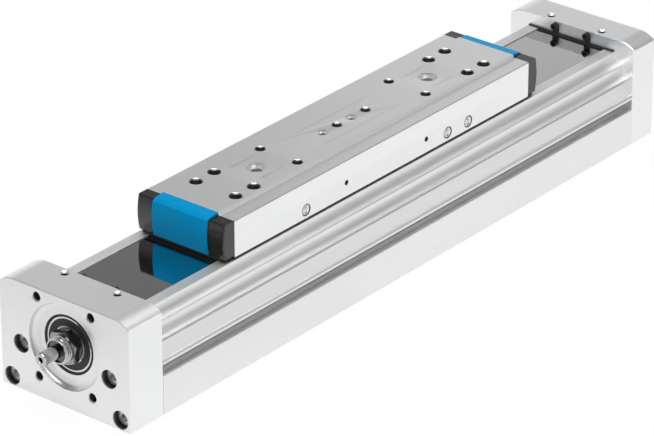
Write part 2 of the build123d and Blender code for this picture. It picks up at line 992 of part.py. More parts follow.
def plate_top_holes():
    """Tapped holes and centring seats in the raised middle."""
    large = (large_hole_radius, large_hole_depth, large_hole_mouth)
    small = (small_hole_radius, small_hole_depth, small_hole_mouth)
    large_sleeve = (large_sleeve_radius, large_sleeve_depth, large_sleeve_radius + sleeve_edge)
    small_sleeve = (small_sleeve_radius, small_sleeve_depth, small_sleeve_radius + sleeve_edge)
    tools = []
    for end in (-1, 1):
        for side in (-1, 1):
            for x in large_hole_x:
                tools.append(top_hole(end * x, side * large_hole_y, *large))
            tools.append(top_hole(end * small_hole_x, side * small_hole_y, *small))
        tools.append(top_hole(end * large_sleeve_x, 0, *large_sleeve))
        tools.append(top_hole(end * large_sleeve_x, 0, large_hole_radius, large_hole_depth, large_hole_mouth))
    for x in middle_hole_x:
        tools.append(top_hole(x, 0, *small))
    for x in small_sleeve_x:
        tools.append(top_hole(x, 0, *small_sleeve))
        tools.append(top_hole(x, 0, pilot_radius, small_hole_depth, pilot_radius + sleeve_edge))
    return tools


def plate_side_holes():
    """Grease ports and tapped holes in both long sides."""
    port = hole_tool(grease_port_radius - sleeve_edge, grease_port_depth, grease_port_radius)
    thread = hole_tool(grease_thread_radius, grease_thread_depth, grease_thread_radius + sleeve_edge)
    tapped = hole_tool(side_hole_radius, side_hole_depth, side_hole_radius + sleeve_edge)
    tools = []
    for side in (-1, 1):
        face = side * plate_half_width
        for x in grease_port_x:
            place = Pos(carriage_rest + x, face, plate_bottom + grease_port_height) * into_y[-side]
            tools.append(place * port)
            tools.append(place * thread)
        for end in (-1, 1):
            place = Pos(carriage_rest + end * side_hole_x, face, plate_bottom + side_hole_height)
            tools.append(place * into_y[-side] * tapped)
    return tools


def wing_screw_places():
    """Places of the screws between saddle and plate."""
    return [
        (carriage_rest + step * wing_screw_pitch, side * wing_screw_offset)
        for step in (-1.5, -0.5, 0.5, 1.5)
        for side in (-1, 1)
    ]


def wing_thread_holes():
    """Threads in the plate for the saddle's screws."""
    radius = wing_screw_size / 2 + screw_clearance
    depth = wing_screw_bite + 1
    return [rod_z(radius, wing_top - 1, wing_top + depth, x, y) for x, y in wing_screw_places()]


def cover_screw_places():
    """Distance from the middle and height of the screws behind a clip."""
    return [(side * cover_screw_spacing / 2, plate_bottom + cover_screw_height) for side in (-1, 1)]


def cover_thread_holes():
    """Threads in both ends of the plate for the covers' screws."""
    radius = cover_screw_size / 2 + screw_clearance
    tools = []
    for end in (-1, 1):
        face = carriage_rest + end * plate_half
        for y, z in cover_screw_places():
            tools.append(rod_x(radius, face + end, face - end * (cover_screw_bite + 1), y, z))
    return tools


def countersink(grow):
    """Cone under a flat screw head, with its wide end at the origin."""
    height = wing_head_radius - wing_screw_size / 2
    low = (Align.CENTER, Align.CENTER, Align.MIN)
    return Cone(wing_head_radius + grow, wing_screw_size / 2 + grow, height, align=low)


def driver_screws():
    """Countersunk screws from the saddle's wings up into the plate."""
    length = wing_thickness + wing_screw_bite
    screw = countersink(0) + Pos(0, 0, length / 2) * Cylinder(wing_screw_size / 2, length)
    return [Pos(x, y, wing_bottom) * screw for x, y in wing_screw_places()]


def saddle_body():
    """Core round the nut, feet on the runner blocks, side beams and end bridges."""
    middle = carriage_rest
    half = saddle_half_width
    reach = saddle_half_length
    body = block(middle - saddle_core_half, middle + saddle_core_half, -half, half, block_top, saddle_top)
    for side in (-1, 1):
        edge = side * half
        body += block(middle - reach, middle + reach, side * (half - foot_width), edge, block_top, foot_top)
        body += block(middle - reach, middle + reach, side * (half - beam_width), edge, foot_top, beam_top)
    for end in (-1, 1):
        tip = middle + end * reach
        body += block(tip, tip - end * bridge_length, -half, half, block_top, beam_top)
    return body


def saddle_neck():
    """Neck through the profile's slot, with wings that carry the plate."""
    x0 = carriage_rest - neck_half_length
    x1 = carriage_rest + neck_half_length
    neck = block(x0, x1, -neck_half_width, neck_half_width, saddle_top, wing_top)
    return neck + block(x0, x1, -wing_half_width, wing_half_width, wing_bottom, wing_top)


def driver_block():
    """Saddle that joins nut, runner blocks and plate, and passes round the band."""
    reach = saddle_half_length + 1
    core_end = carriage_rest + saddle_core_half + 1
    flange_front = nut_seat - flange_thickness - 1
    saddle = saddle_body() + saddle_neck()
    saddle -= rod_x(nut_radius + press_clearance, nut_seat - 1, core_end)
    saddle -= rod_x(flange_radius + flange_clearance, flange_front, nut_seat)
    saddle -= rod_x(spindle_passage, carriage_rest - reach, carriage_rest + reach)
    room = screw_room(block_screw_size, head_sink, foot_thickness)
    for side in (-1, 1):
        for end in (-1, 1):
            for x, y in block_screw_places(side, end):
                saddle -= Pos(x, y, foot_top) * down * room
    for x, y in wing_screw_places():
        saddle -= Pos(x, y, wing_bottom) * countersink(screw_clearance)
        saddle -= rod_z(wing_screw_size / 2 + screw_clearance, wing_bottom, wing_top + 1, x, y)
    thread = flange_screw_size / 2 + screw_clearance
    for y, z in flange_screw_places():
        saddle -= rod_x(thread, nut_seat - 1, nut_seat + flange_screw_bite + 1, y, z)
    return saddle


def flange_screw_places():
    """Three screws on each side of the flange, as (y, z)."""
    places = []
    for side in (-1, 1):
        for step in (-1, 0, 1):
            turn = math.radians(step * flange_screw_spread)
            y = side * flange_screw_circle * math.cos(turn)
            z = shaft_height + flange_screw_circle * math.sin(turn)
            places.append((y, z))
    return places


def ball_nut():
    """Flanged nut that runs on the spindle."""
    front = nut_seat - flange_thickness
    back = nut_seat + nut_length
    bore = spindle_radius + running_clearance
    edge = flange_clearance
    nut = turned(
        (front, bore + edge),
        (front, flange_radius - edge),
        (front + edge, flange_radius),
        (nut_seat, flange_radius),
        (nut_seat, nut_radius),
        (back - edge, nut_radius),
        (back, nut_radius - edge),
        (back, bore + edge),
        (back - edge, bore),
        (front + edge, bore),
    )
    room = into_x[1] * screw_room(flange_screw_size, head_clearance, flange_thickness)
    for y, z in flange_screw_places():
        nut -= Pos(front, y, z) * room
    return nut


def nut_screws():
    """Screws through the flange into the saddle."""
    head = nut_seat - flange_thickness + head_clearance
    length = flange_thickness - head_clearance - flange_screw_size + flange_screw_bite
    screw = into_x[1] * socket_screw(flange_screw_size, length, socket=False)
    return [Pos(head, y, z) * screw for y, z in flange_screw_places()]


def band_lifter(end):
    """Ramp that carries the band up to the carriage's neck."""
    crest = neck_half_length + lifter_nose
    tip = neck_half_length + lifter_length
    slope = (lifted_band - band_bottom) / ramp_length
    top = lifted_band - 2 * seal_clearance
    tip_top = top - slope * (tip - crest)
    overhang = shaft_height + flange_radius + flange_clearance
    outline = [
        (neck_half_length, saddle_top),
        (saddle_core_half, saddle_top),
        (saddle_core_half, overhang),
        (tip, overhang),
        (tip, tip_top),
        (neck_half_length + seal_clearance, top),
        (neck_half_length, top),
    ]
    lifter = across(polygon(*[(carriage_rest + end * x, z) for x, z in outline]), lifter_half_width)
    return lifter - rod_x(nut_radius + seal_clearance, nut_seat - 1, nut_seat + nut_length + 1)


def cover_front(grow, drop=0.0):
    """Foot, bulge and head of a cover's front, counted from the plate's end."""
    edge = cover_length - cover_taper + grow
    foot = (edge, cover_bottom - drop)
    bulge = (cover_length + cover_bulge + grow, (cover_bottom + plate_edge_top) / 2)
    head = (edge, plate_edge_top - cover_edge)
    return foot, bulge, head


def plate_end_solid(outline, end, half_width):
    """Section drawn outwards from the plate's end, set at the near or the far end."""
    solid = across(make_face(outline), half_width)
    if end < 0:
        solid = mirror(solid, Plane.YZ)
    return Pos(carriage_rest + end * plate_half, 0, 0) * solid


def clip_envelope(end, half_width):
    """Outer body of the clip: it stands proud of the cover's front and top."""
    foot, bulge, head = cover_front(clip_stand_out)
    outline = ThreePointArc(foot, bulge, head)
    outline += Polyline(
        head,
        (head[0] - clip_thickness, plate_edge_top + clip_stand_out),
        (0, plate_top - clip_drop),
        (0, cover_bottom),
        foot,
    )
    return plate_end_solid(outline, end, half_width)


def clip_core(end, half_width):
    """Body that the clip leaves free for the cover."""
    foot, bulge, head = cover_front(clip_stand_out - clip_thickness, clip_thickness)
    roof = plate_top - clip_drop - clip_thickness
    shoulder = (head[0], roof - clip_thickness / 2)
    outline = ThreePointArc(foot, bulge, shoulder)
    outline += Polyline(
        shoulder, (head[0] - clip_thickness, roof), (-1, roof), (-1, foot[1]), foot
    )
    return plate_end_solid(outline, end, half_width)


def clip(end):
    """Blue clip that closes the middle of a cover."""
    return clip_envelope(end, clip_half_width) - clip_core(end, clip_half_width + 1)


def end_cover(end):
    """Black cover with a crowned front, a recess for the clip and a slot for the band."""
    foot, bulge, head = cover_front(0)
    outline = ThreePointArc(foot, bulge, head)
    outline += Polyline(head, (head[0] - cover_edge, plate_edge_top), (0, plate_edge_top), (0, foot[1]), foot)
    cover = plate_end_solid(outline, end, plate_half_width - cover_inset)
    fronts = [edge for edge in cover.edges() if edge.geom_type == GeomType.CIRCLE]
    cover = fillet(fronts, 2 * cover_edge)
    cover -= clip_envelope(end, clip_half_width + screw_clearance) - clip_core(end, clip_half_width + 1)
    face = carriage_rest + end * plate_half
    inner = face + end * (cover_length - cover_wall)
    cover -= block(face - end, inner, -tunnel_half_width, tunnel_half_width, cover_bottom - 1, tunnel_top)
    sink = cover_length - cover_screw_size
    room = into_x[-end] * screw_room(cover_screw_size, sink, cover_length)
    for y, z in cover_screw_places():
        cover -= Pos(face + end * (cover_length + cover_screw_size / 2), y, z) * room
    return cover


def cover_screws():
    """Screws behind the clips."""
    seat = cover_screw_size / 2
    screw = socket_screw(cover_screw_size, seat + cover_screw_bite, socket=False)
    screws = []
    for end in (-1, 1):
        head = carriage_rest + end * (plate_half + seat + cover_screw_size)
        for y, z in cover_screw_places():
            screws.append(Pos(head, y, z) * into_x[-end] * screw)
    return screws


def wiper(end):
    """Rubber lip under a cover that sweeps the band and the profile's edges."""
    x0 = carriage_rest + end * (plate_half + wiper_gap)
    x1 = x0 + end * wiper_length
    sweep = profile_height + seal_clearance
    dip = band_half_width - clamp_inset
    lip = block(x0, x1, -wiper_half_width, wiper_half_width, sweep, cover_bottom)
    return lip + block(x0, x1, -dip, dip, band_top + seal_clearance, cover_bottom)


def side_seals():
    """Black lips under the plate's long edges."""
    outer = plate_half_width - cover_inset
    inner = outer - side_seal_width
    x0 = carriage_rest - plate_half
    x1 = carriage_rest + plate_half
    foot = profile_height + seal_clearance
    return [block(x0, x1, side * inner, side * outer, foot, plate_bottom) for side in (-1, 1)]


def grease_plugs():
    """Round plugs in the grease ports of both sides."""
    plugs = []
    height = plate_bottom + grease_port_height
    radius = grease_thread_radius - screw_clearance / 2
    head = grease_plug_share * grease_port_radius
    for side in (-1, 1):
        floor = side * (plate_half_width - grease_port_depth)
        for x in grease_port_x:
            front = floor + side * (grease_port_depth - 2 * seal_clearance)
            back = floor - side * (grease_thread_depth - grease_port_depth - 1)
            plug = rod_y(head, front, floor, carriage_rest + x, height)
            plugs.append(plug + rod_y(radius, floor, back, carriage_rest + x, height))
    return plugs


def buffers(end):
    """Two rubber posts on a cap that stop the saddle."""
    if end < 0:
        seat = near_seat
        stop = carriage_rest - saddle_half_length - travel_back - buffer_gap
    else:
        seat = far_seat
        stop = carriage_rest + saddle_half_length + travel_forward + buffer_gap
    return [rod_x(buffer_radius, seat, stop, side * buffer_offset) for side in (-1, 1)]


def save(name, shape):
    """Writes one sub-part, a solid or a group of separate solids."""
    if isinstance(shape, list):
        shape = Compound(children=shape)
    export_step(shape, f"parts/{name}.step")


def main():
    os.makedirs("parts", exist_ok=True)
    save("profile", profile())
    save("drive_cap", drive_cap())
    save("end_cap", end_cap())
    save("drive_cap_screws", cap_screws(near_face, 1, drive_cap_depth))
    save("end_cap_screws", cap_screws(far_face, -1, end_cap_depth))
    save("cover_band", cover_band())
    save("magnet_strips", magnet_strips())
    save("drive_band_clamp", band_clamp(near_seat, 1))
    save("end_band_clamp", band_clamp(far_seat, -1))
    save("band_clamp_screws", band_clamp_screws())
    save("guide_rail_left", guide_rail(1))
    save("guide_rail_right", guide_rail(-1))
    save("rail_screws", rail_screws())
    save("drive_end_buffer", buffers(-1))
    save("far_end_buffer", buffers(1))
    save("bearing_outer_ring", bearing_outer_ring())
    save("bearing_balls", balls(fixed_rows(), ball_circle, ball_count))
    save("bearing_seal", bearing_seal())
    save("snap_ring", snap_ring())
    save("support_outer_ring", support_outer_ring())
    save("support_balls", balls(support_rows(), support_ball_circle, support_ball_count))
    save("spindle", spindle())
    save("lock_nut", lock_nut())
    save("bearing_inner_ring", bearing_inner_ring())
    save("support_inner_ring", support_inner_ring())
    save("support_circlip", support_circlip())
    save("carriage_plate", carriage_plate())
    save("driver_block", driver_block())
    save("driver_screws", driver_screws())
    save("ball_nut", ball_nut())
    save("nut_screws", nut_screws())
    for side, side_name in ((1, "left"), (-1, "right")):
        for end, end_name in ((-1, "near"), (1, "far")):
            save(f"runner_block_{side_name}_{end_name}", runner_block(side, end))
    save("runner_end_seals", runner_seals())
    save("block_screws", block_screws())
    for end, end_name in ((-1, "near"), (1, "far")):
        save(f"{end_name}_end_cover", end_cover(end))
        save(f"{end_name}_clip", clip(end))
        save(f"{end_name}_wiper", wiper(end))
        save(f"{end_name}_band_lifter", band_lifter(end))
    save("side_seals", side_seals())
    save("cover_screws", cover_screws())
    save("grease_plugs", grease_plugs())


main()
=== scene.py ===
import json
import math

import bmesh
import bpy
from bpy.props import FloatProperty, FloatVectorProperty, IntProperty, PointerProperty
from mathutils import Matrix, Vector


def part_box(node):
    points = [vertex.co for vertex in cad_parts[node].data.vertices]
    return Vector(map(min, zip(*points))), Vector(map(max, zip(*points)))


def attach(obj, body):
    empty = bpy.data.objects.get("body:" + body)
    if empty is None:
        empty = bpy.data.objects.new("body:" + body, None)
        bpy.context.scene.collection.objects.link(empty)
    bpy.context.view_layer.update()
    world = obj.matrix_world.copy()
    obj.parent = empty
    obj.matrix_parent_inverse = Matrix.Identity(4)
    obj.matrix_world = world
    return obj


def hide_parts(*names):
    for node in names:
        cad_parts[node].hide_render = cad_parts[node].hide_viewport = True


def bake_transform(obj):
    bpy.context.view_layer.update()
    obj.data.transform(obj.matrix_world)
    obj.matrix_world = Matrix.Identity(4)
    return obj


bl_info = {
    "name": "Spindle axis unit",
    "version": (1, 0, 0),
    "blender": (4, 5, 0),
    "location": "3D View > Sidebar > Axis unit",
    "description": "Dresses a spindle axis with its finishes, threads and a plain studio",
    "category": "Object",
}

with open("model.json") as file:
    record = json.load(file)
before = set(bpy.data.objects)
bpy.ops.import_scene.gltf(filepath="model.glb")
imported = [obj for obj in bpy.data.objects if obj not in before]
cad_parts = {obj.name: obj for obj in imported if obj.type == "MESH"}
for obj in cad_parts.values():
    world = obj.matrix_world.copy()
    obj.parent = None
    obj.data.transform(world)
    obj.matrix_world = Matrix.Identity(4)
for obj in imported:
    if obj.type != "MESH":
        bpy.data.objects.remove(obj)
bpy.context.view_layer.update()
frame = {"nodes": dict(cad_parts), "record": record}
nodes = frame["nodes"]

MM = 0.001

# Caps, in mm: screws and motor holes as aside and up, holes in the tops as along and aside
CAP_SCREWS = ((50.6, 7.8), (41.0, 36.5))
MOTOR_HOLES_ASIDE = 25.0
MOTOR_HOLES_UP = (16.25, 78.75)
CAP_TOP_HOLES_ALONG = (-281.0, 288.0)
CAP_TOP_HOLES_ASIDE = 24.5

# Carriage plate, in mm: holes along it from its middle, aside, and up from its lower face
LARGE_HOLES_ALONG = (125, 145)
LARGE_HOLES_ASIDE = 18.5
SMALL_HOLES_ALONG = 75
SMALL_HOLES_ASIDE = 17.5
MIDDLE_HOLES_ALONG = (-8.5, 25)
SIDE_HOLES_ALONG = 47
SIDE_HOLES_UP = 10.5
NIPPLES_ALONG = (-93, 73, 98)
NIPPLES_UP = 6.3
NIPPLE_RADIUS = 3.8

# Profile and spindle, in mm: the flank's slot above the ground, the plain stub before its root
SLOT_UP = 34.9
SLOT_HALF_HEIGHT = 4.3
STUB_LENGTH = 16.0

# Threads: core radius, pitch and the length that is cut, in metres
M10 = (4.25 * MM, 1.5 * MM, 9 * MM)
M8 = (3.4 * MM, 1.25 * MM, 9 * MM)
M6 = (2.5 * MM, 1.0 * MM, 6 * MM)
M5 = (2.1 * MM, 0.8 * MM, 4 * MM)
CREST_INSET = 0.35 * MM
THREAD_DEPTH = 0.32 * MM

# Stretch of the grain: drawn or rolled along the unit, milled along it, turned round it, or even
DRAWN = (0.012, 1.0, 1.0)
MILLED = (0.05, 1.0, 1.0)
GROUND_ROUND = (1.0, 0.1, 0.1)
TURNED_ROUND = (1.0, 0.3, 0.3)
EVEN = (1.0, 1.0, 1.0)

# White ground: what the camera sees of its glow, what polished faces mirror of it, and the
# strength left of the mirrored glow before the drive end, painted shade that fades between two
# places along X
GLOW_SHARE = 0.94
MIRRORED_SHARE = 0.82
MIRRORED_PAINTED_SHADE = 0.5
PAINTED_SHADE_ALONG = (-0.65, -0.28)
GROUND_REACH = 12.0
GROUND_DROP = 0.5 * MM

# Surroundings: directions between which they change, on the long side's hand and before the drive
SKY_ASIDE_TURN = (-0.6, -0.1)
SKY_BEFORE_TURN = (-0.8, -0.2)

# Lamps: place, the point that each faces, width and length, in metres
LAMPS = {
    "top_light": ((-0.35, -0.2, 2.1), (0, 0, 0.05), 1.7, 1.7),
    "far_light": ((1.75, 1.1, 0.95), (0.3, 0, 0.08), 0.6, 0.6),
    "side_light": ((-0.6, -2.2, 0.9), (0, 0, 0.05), 1.5, 1.5),
    "strip_light": ((1.6, -0.15, 2.35), (-0.3, 0, 0.05), 1.1, 1.2),
}

# Camera at the photograph's view: place in metres, heading and drop in degrees, sensor in mm
CAMERA_PLACE = (-2.1231, -1.7111, 1.3993)
CAMERA_HEADING = 39.169
CAMERA_DROP = 26.723
CAMERA_SENSOR = 36.0


def colour_property(name, description, default):
    return FloatVectorProperty(
        name=name, description=description, default=default, subtype="COLOR", size=3, min=0, max=1
    )


def share_property(name, description, default, most=1.0):
    return FloatProperty(name=name, description=description, default=default, min=0, max=most)


def lamp_property(name, description, default):
    return FloatProperty(
        name=name, description=description, default=default, min=0, unit="POWER"
    )


class AxisFinish(bpy.types.PropertyGroup):
    """Colours of the unit's finishes."""

    profile: colour_property("Profile", "Natural anodised extrusion", (0.88, 0.88, 0.88))
    cap: colour_property("Caps", "Blasted and anodised aluminium", (0.91, 0.915, 0.92))
    plate: colour_property("Carriage", "Milled and anodised aluminium", (0.89, 0.895, 0.90))
    band: colour_property("Cover band", "Rolled spring steel", (0.66, 0.66, 0.66))
    steel: colour_property("Bright steel", "Ground and turned steel", (0.66, 0.66, 0.65))
    dark_steel: colour_property("Black steel", "Blackened screws", (0.035, 0.034, 0.033))
    cover: colour_property("Covers", "Black moulded plastic", (0.009, 0.0085, 0.008))
    clip: colour_property("Clips", "Blue moulded plastic", (0.0, 0.255, 0.52))
    rubber: colour_property("Rubber", "Black rubber of seals and buffers", (0.016, 0.016, 0.016))
    # Thread colour is near black: painted shade for the depth of the tapped holes.
    thread: colour_property("Threads", "Cut threads deep in a hole", (0.07, 0.07, 0.07))


class AxisSizes(bpy.types.PropertyGroup):
    """Sizes of what is added to the solids."""

    journal_pitch: FloatProperty(
        name="Journal pitch", description="Pitch of the locking thread", default=2.0 * MM,
        min=0.5 * MM, max=3 * MM, unit="LENGTH", precision=4,
    )
    thread_turn_steps: IntProperty(
        name="Steps per turn", description="Faces in one turn of a thread", default=24,
        min=12, max=64,
    )


class AxisStudio(bpy.types.PropertyGroup):
    """Light and camera of the studio."""

    lens: FloatProperty(
        name="Lens", description="Focal length of the camera", default=225.72, min=50, max=600,
        unit="CAMERA",
    )
    sky_low: share_property(
        "Low sky", "Brightness of the surroundings near the horizon", 0.94, most=2
    )
    sky_high: share_property("High sky", "Brightness of the surroundings overhead", 0.19, most=2)
    sky_aside: share_property("Sky aside", "Share of the brightness on the long side's hand", 0.5)
    sky_before: share_property("Sky before", "Share of the brightness before the drive end", 0.7)
    sky_break: FloatVectorProperty(
        name="Sky break", description="Heights between which the sky darkens, as sines",
        default=(0.22, 0.485), size=2, min=0, max=1,
    )
    top_light: lamp_property("Top light", "Power of the soft light overhead", 46.0)
    far_light: lamp_property("Far light", "Power of the soft light beyond the far end", 0.3)
    strip_light: lamp_property("Strip light", "Power of the light above the far end", 2.6)
    side_light: lamp_property("Side light", "Power of the soft light on the long side", 9.0)


def add_node(tree, kind, inputs=None, **settings):
    """Shader node with its settings; an input takes a value or another node's output."""
    node = tree.nodes.new(f"ShaderNode{kind}")
    for name, setting in settings.items():
        setattr(node, name, setting)
    for label, value in (inputs or {}).items():
        if isinstance(value, bpy.types.NodeSocket):
            tree.links.new(value, node.inputs[label])
        else:
            node.inputs[label].default_value = value
    return node


def maths(tree, operation, *terms):
    """Output of a Math node over its terms."""
    return add_node(tree, "Math", dict(enumerate(terms)), operation=operation).outputs[0]


def vector_maths(tree, operation, *terms, result="Vector"):
    """Output of a Vector Math node over its terms."""
    node = add_node(tree, "VectorMath", dict(enumerate(terms)), operation=operation)
    return node.outputs[result]


def new_group(name, inputs, outputs):
    """Shader node group with named sockets; gives it, its given values and its results."""
    group = bpy.data.node_groups.new(name, "ShaderNodeTree")
    for label, kind, value in inputs:
        socket = group.interface.new_socket(label, in_out="INPUT", socket_type=kind)
        socket.default_value = value
    for label, kind in outputs:
        group.interface.new_socket(label, in_out="OUTPUT", socket_type=kind)
    given, results = group.nodes.new("NodeGroupInput"), group.nodes.new("NodeGroupOutput")
    return group, given.outputs, results.inputs


def grain_group():
    """Grain of a surface: lines or grit in its colour, roughness and relief."""
    group, given, results = new_group(
        "Grain",
        [
            ("Light", "NodeSocketColor", (0.8, 0.8, 0.8, 1)),
            ("Dark", "NodeSocketColor", (0.7, 0.7, 0.7, 1)),
            ("Stretch", "NodeSocketVector", (1, 1, 1)),
            ("Scale", "NodeSocketFloat", 800.0),
            ("Smooth", "NodeSocketFloat", 0.3),
            ("Spread", "NodeSocketFloat", 0.1),
            ("Relief", "NodeSocketFloat", 0.1),
            ("Depth", "NodeSocketFloat", 0.00002),
        ],
        [
            ("Color", "NodeSocketColor"),
            ("Roughness", "NodeSocketFloat"),
            ("Normal", "NodeSocketVector"),
        ],
    )
    cloud_scale, cloud_share = 14.0, 0.35
    darkest, lightest = 0.45, 0.90
    place = add_node(group, "TexCoord").outputs["Object"]
    stretched = vector_maths(group, "MULTIPLY", place, given["Stretch"])
    fine = add_node(
        group, "TexNoise", {"Vector": stretched, "Scale": given["Scale"], "Detail": 4.0}
    ).outputs["Fac"]
    cloud = add_node(
        group, "TexNoise", {"Vector": place, "Scale": cloud_scale, "Detail": 3.0}
    ).outputs["Fac"]
    both = maths(group, "MULTIPLY_ADD", cloud, cloud_share, fine)
    tone = add_node(
        group, "MapRange", {"Value": both, "From Min": darkest, "From Max": lightest}
    ).outputs["Result"]
    colour = add_node(
        group, "Mix", {"Factor": tone, "A": given["Dark"], "B": given["Light"]}, data_type="RGBA"
    )
    relief = add_node(
        group, "Bump", {"Height": fine, "Strength": given["Relief"], "Distance": given["Depth"]}
    )
    group.links.new(colour.outputs["Result"], results["Color"])
    group.links.new(
        maths(group, "MULTIPLY_ADD", tone, given["Spread"], given["Smooth"]), results["Roughness"]
    )
    group.links.new(relief.outputs["Normal"], results["Normal"])
    return group


def painted_shade_group():
    """Painted shade in holes and slots: a colour that darkens inwards from a mouth, on both long
    sides.
    """
    group, given, results = new_group(
        "Hollow",
        [
            ("Color", "NodeSocketColor", (0.8, 0.8, 0.8, 1)),
            ("Mouth", "NodeSocketVector", (0, 0, 0)),
            ("Across", "NodeSocketVector", (0, 1, 1)),
            ("Inwards", "NodeSocketVector", (1, 0, 0)),
            ("Radius", "NodeSocketFloat", 0.005),
            ("Fade", "NodeSocketFloat", 0.004),
            ("Length", "NodeSocketFloat", 0.03),
            ("Deepest", "NodeSocketFloat", 0.8),
        ],
        [("Color", "NodeSocketColor")],
    )
    place = add_node(group, "TexCoord").outputs["Object"]
    parts = add_node(group, "SeparateXYZ", {0: place}).outputs
    aside = maths(group, "ABSOLUTE", parts["Y"])
    folded = add_node(group, "CombineXYZ", {"X": parts["X"], "Y": aside, "Z": parts["Z"]})
    away = vector_maths(group, "SUBTRACT", folded.outputs[0], given["Mouth"])
    flat = vector_maths(group, "MULTIPLY", away, given["Across"])
    reach = vector_maths(group, "LENGTH", flat, result="Value")
    deep = vector_maths(group, "DOT_PRODUCT", away, given["Inwards"], result="Value")
    within = maths(group, "LESS_THAN", reach, given["Radius"])
    near_enough = maths(group, "LESS_THAN", deep, given["Length"])
    fade = add_node(
        group,
        "MapRange",
        {
            "Value": deep,
            "From Min": 0.1 * MM,
            "From Max": given["Fade"],
            "To Max": given["Deepest"],
        },
    ).outputs["Result"]
    share = maths(group, "MULTIPLY", maths(group, "MULTIPLY", within, near_enough), fade)
    shaded = add_node(
        group, "Mix", {"Factor": share, "A": given["Color"], "B": (0, 0, 0, 1)}, data_type="RGBA"
    )
    group.links.new(shaded.outputs["Result"], results["Color"])
    return group


def opaque(colour):
    return (colour[0], colour[1], colour[2], 1.0)


def shade(colour, factor):
    return tuple(channel * factor for channel in colour)


def new_finish(name, values):
    """Material with values on its Principled shader; gives it, its tree and the shader."""
    material = bpy.data.materials.new(f"{name}_finish")
    material.use_nodes = True
    shader = material.node_tree.nodes["Principled BSDF"]
    for label, value in values.items():
        shader.inputs[label.replace("_", " ")].default_value = value
    return material, material.node_tree, shader


def grained(
    name, light, painted_shades=(), *, dark, stretch, scale, smooth, spread, relief, depth, **values
):
    """Material whose colour, roughness and relief come from the grain group; painted shade in
    the given holes and slots darkens the colour.

    dark is the darker grain's share of the light colour and depth its relief in mm; values go
    to the shader.
    """
    material, tree, shader = new_finish(name, values)
    grain = add_node(
        tree,
        "Group",
        {
            "Light": opaque(light),
            "Dark": opaque(shade(light, dark)),
            "Stretch": stretch,
            "Scale": scale,
            "Smooth": smooth,
            "Spread": spread,
            "Relief": relief,
            "Depth": depth * MM,
        },
        node_tree=bpy.data.node_groups["Grain"],
    )
    colour = grain.outputs["Color"]
    # Each step paints shade into the colour, darker inwards from a hole's or slot's mouth.
    for mouth, across, inwards, radius, fade, deepest in painted_shades:
        shade_step = add_node(
            tree,
            "Group",
            {
                "Color": colour,
                "Mouth": mouth,
                "Across": across,
                "Inwards": inwards,
                "Radius": radius * MM,
                "Fade": fade * MM,
                "Deepest": deepest,
            },
            node_tree=bpy.data.node_groups["Hollow"],
        )
        colour = shade_step.outputs["Color"]
    tree.links.new(colour, shader.inputs["Base Color"])
    tree.links.new(grain.outputs["Roughness"], shader.inputs["Roughness"])
    tree.links.new(grain.outputs["Normal"], shader.inputs["Normal"])
    return material


# A painted shade is the mouth of its hole or slot, the directions across it, the one inwards,
# its radius and the depth of its fade in mm, and the share of the colour that is gone at its
# deepest.
def along_x(x, y, z, radius, fade, deepest, inwards=1):
    """Painted shade about an axis along X, of both long sides; x in metres, y and z in mm."""
    return (x, y * MM, z * MM), (0, 1, 1), (inwards, 0, 0), radius, fade, deepest


def along_z(x, y, z, radius, fade, deepest):
    """Painted shade about an upright axis, of both long sides; x and z in metres, y in mm."""
    return (x, y * MM, z), (1, 1, 0), (0, 0, -1), radius, fade, deepest


def cap_painted_shade():
    """Painted shade in the holes of both caps, from their mouths inwards."""
    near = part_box("drive_cap")[0].x
    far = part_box("end_cap")[1]
    places = []
    for x, inwards in ((near, 1), (far.x, -1)):
        for y, z in CAP_SCREWS:
            places.append(along_x(x, y, z, 7.2, 2.2, 0.92, inwards))
    for z in MOTOR_HOLES_UP:
        places.append(along_x(near, MOTOR_HOLES_ASIDE, z, 3.5, 2.5, 0.72))
    for x in CAP_TOP_HOLES_ALONG:
        places.append(along_z(x * MM, CAP_TOP_HOLES_ASIDE, far.z, 3.4, 2.5, 0.8))
    return places


def spindle_painted_shade():
    """Painted shade in the centre hole of the stub and in the groove about its root."""
    low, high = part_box("spindle")
    axis = (low.z + high.z) / 2 / MM
    root = low.x + STUB_LENGTH * MM
    return [along_x(low.x, 0.0, axis, 2.4, 0.8, 0.97), along_x(root, 0.0, axis, 8.5, 1.2, 0.75)]


def nut_painted_shade():
    """Painted shade on the nut's collar, darker towards the bearing."""
    low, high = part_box("lock_nut")
    return [along_x(low.x, 0.0, (low.z + high.z) / 2 / MM, 20.0, 30.0, 0.9)]


def profile_painted_shade():
    """Painted shade in the slots of the profile's flanks."""
    slot = (0.0, -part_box("profile")[0].y, SLOT_UP * MM)
    return [(slot, (0, 0, 1), (0, -1, 0), SLOT_HALF_HEIGHT, 6.0, 0.25)]


def plate_painted_shade():
    """Painted shade in the holes of the carriage's top and of its long sides."""
    low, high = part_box("carriage_plate")
    middle = (low.x + high.x) / 2
    row = (0.0, LARGE_HOLES_ASIDE * MM, high.z)
    side = (0.0, high.y, low.z)
    places = [
        (row, (0, 1, 0), (0, 0, -1), 5.6, 0.4, 0.86),
        (side, (0, 0, 1), (0, -1, 0), 15.0, 2.0, 0.3),
    ]
    for x in MIDDLE_HOLES_ALONG:
        places.append(along_z(middle + x * MM, 0.0, high.z, 4.5, 0.4, 0.72))
    return places


